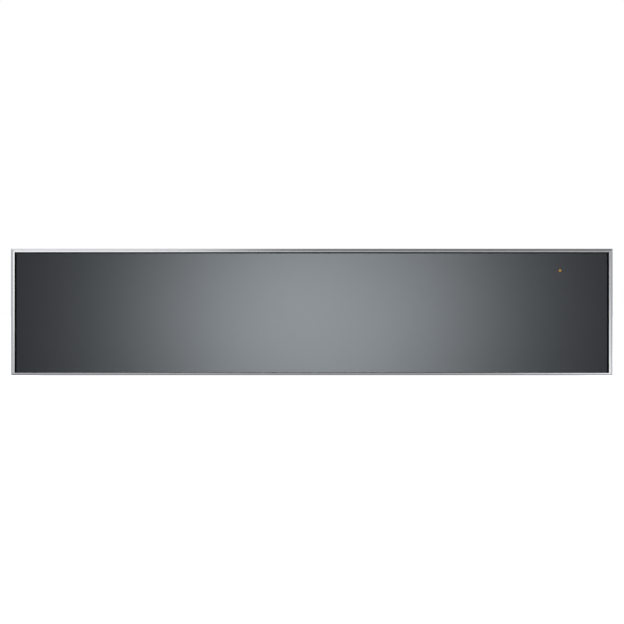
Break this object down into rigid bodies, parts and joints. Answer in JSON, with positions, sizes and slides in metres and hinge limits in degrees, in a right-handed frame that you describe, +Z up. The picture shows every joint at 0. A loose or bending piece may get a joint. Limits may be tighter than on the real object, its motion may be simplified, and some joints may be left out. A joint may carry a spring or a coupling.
{
  "type": "warming drawer",
  "caption": "Built-in warming drawer with a handleless steel-framed dark front, a telescopic-slide drawer with a heated glass floor, blower and inner controls, in a sheet steel housing.",
  "frame": {"origin": "middle of the base, on the plane the glides stand on", "axes": "+X to the right seen from the front, +Y towards the back, +Z up; the front faces -Y"},
  "size_m": [0.594, 0.548, 0.1275],
  "materials": {
    "frame_steel": "satin stainless steel with polished edges",
    "panel_glass": "glass with a satin anthracite metallic coating behind it",
    "indicator": "translucent amber",
    "gasket_rubber": "matte black",
    "zinc_sheet": "galvanised sheet, faint spangle",
    "rail_steel": "bright zinc-plated",
    "ball_steel": "ground and polished steel",
    "tray_steel": "brushed stainless steel",
    "plate_glass": "black glass ceramic, polished",
    "mineral_board": "pressed mineral fibre board",
    "heater_tube": "dark oxidised tube",
    "black_plastic": "fine matte black plastic",
    "terminal_plastic": "off-white plastic",
    "ceramic_body": "unglazed ceramic",
    "control_metal": "turned satin aluminium",
    "fan_metal": "pressed aluminium",
    "motor_paint": "black stoved paint",
    "board_green": "green solder mask",
    "lead_silicone": "red-brown silicone sleeve",
    "spring_steel": "bright spring wire"
  },
  "bodies": {
    "housing": {"case_base": "zinc_sheet", "case_side_left": "zinc_sheet", "case_side_right": "zinc_sheet", "case_rear": "zinc_sheet", "case_top": "zinc_sheet", "front_surround": "tray_steel", "base_glides": "gasket_rubber", "flange_bumpers": "gasket_rubber", "terminal_block": "terminal_plastic", "terminal_cover": "black_plastic", "cable_gland": "black_plastic", "case_screws": "rail_steel", "outer_rail_left": "rail_steel", "outer_rail_right": "rail_steel", "rail_rivets": "rail_steel", "latch_body": "black_plastic", "latch_spring": "spring_steel", "drawer_lead": "lead_silicone"},
    "latch_plunger": {"latch_plunger": "terminal_plastic"},
    "middle_rail_left": {"middle_rail_left": "rail_steel"},
    "middle_rail_right": {"middle_rail_right": "rail_steel"},
    "outer_retainer_left": {"outer_retainer_left": "ball_steel"},
    "outer_retainer_right": {"outer_retainer_right": "ball_steel"},
    "inner_retainer_left": {"inner_retainer_left": "ball_steel"},
    "inner_retainer_right": {"inner_retainer_right": "ball_steel"},
    "power_button": {"power_button": "control_metal"},
    "temperature_knob": {"temperature_knob": "control_metal"},
    "fan_wheel": {"fan_wheel": "fan_metal"},
    "drawer": {"inner_rail_left": "rail_steel", "inner_rail_right": "rail_steel", "frame_bar_top": "frame_steel", "frame_bar_bottom": "frame_steel", "frame_bar_left": "frame_steel", "frame_bar_right": "frame_steel", "front_panel": "panel_glass", "front_gasket": "gasket_rubber", "front_carrier": "zinc_sheet", "front_insulation": "mineral_board", "front_inner_panel": "tray_steel", "indicator_lens": "indicator", "indicator_led": "indicator", "indicator_board": "board_green", "drawer_chassis": "zinc_sheet", "tray_liner": "tray_steel", "heating_plate": "plate_glass", "plate_gasket": "gasket_rubber", "heater_element": "heater_tube", "element_tray": "zinc_sheet", "floor_insulation": "mineral_board", "thermal_cutout": "ceramic_body", "rear_cover": "tray_steel", "fan_motor": "motor_paint", "fan_grille": "tray_steel", "control_panel": "black_plastic", "power_switch": "black_plastic", "selector_switch": "black_plastic", "latch_striker": "zinc_sheet", "striker_buffer": "gasket_rubber", "drawer_screws": "rail_steel"}
  },
  "joints": [
    {"name": "drawer_slide", "type": "slide", "parent": "housing", "child": "drawer", "axis": [0, -1, 0], "range_m": [-0.003, 0.42], "deforming": ["drawer_lead", "striker_buffer"]},
    {"name": "middle_rail_left_slide", "type": "slide", "parent": "housing", "child": "middle_rail_left", "axis": [0, -1, 0], "range_m": [-0.0015, 0.21]},
    {"name": "middle_rail_right_slide", "type": "slide", "parent": "housing", "child": "middle_rail_right", "axis": [0, -1, 0], "range_m": [-0.0015, 0.21]},
    {"name": "outer_retainer_left_slide", "type": "slide", "parent": "housing", "child": "outer_retainer_left", "axis": [0, -1, 0], "range_m": [-0.00075, 0.105]},
    {"name": "outer_retainer_right_slide", "type": "slide", "parent": "housing", "child": "outer_retainer_right", "axis": [0, -1, 0], "range_m": [-0.00075, 0.105]},
    {"name": "inner_retainer_left_slide", "type": "slide", "parent": "housing", "child": "inner_retainer_left", "axis": [0, -1, 0], "range_m": [-0.00225, 0.315]},
    {"name": "inner_retainer_right_slide", "type": "slide", "parent": "housing", "child": "inner_retainer_right", "axis": [0, -1, 0], "range_m": [-0.00225, 0.315]},
    {"name": "latch_push", "type": "slide", "parent": "housing", "child": "latch_plunger", "axis": [0, 1, 0], "range_m": [0, 0.003], "stiffness_N_per_m": 600, "deforming": ["latch_spring"]},
    {"name": "power_press", "type": "slide", "parent": "drawer", "child": "power_button", "axis": [0, 0, -1], "range_m": [0, 0.0025], "stiffness_N_per_m": 800},
    {"name": "temperature_turn", "type": "hinge", "parent": "drawer", "child": "temperature_knob", "pos_m": [0.2005, -0.2262, 0.0996], "axis": [0, 0, -1], "range_deg": [0, 240]},
    {"name": "fan_spin", "type": "hinge", "parent": "drawer", "child": "fan_wheel", "pos_m": [0, 0.143, 0.0722], "axis": [0, 1, 0], "continuous": true}
  ],
  "couplings": [
    {"joint": "middle_rail_left_slide", "follows": "drawer_slide", "ratio": 0.5},
    {"joint": "middle_rail_right_slide", "follows": "drawer_slide", "ratio": 0.5},
    {"joint": "outer_retainer_left_slide", "follows": "drawer_slide", "ratio": 0.25},
    {"joint": "outer_retainer_right_slide", "follows": "drawer_slide", "ratio": 0.25},
    {"joint": "inner_retainer_left_slide", "follows": "drawer_slide", "ratio": 0.75},
    {"joint": "inner_retainer_right_slide", "follows": "drawer_slide", "ratio": 0.75}
  ]
}
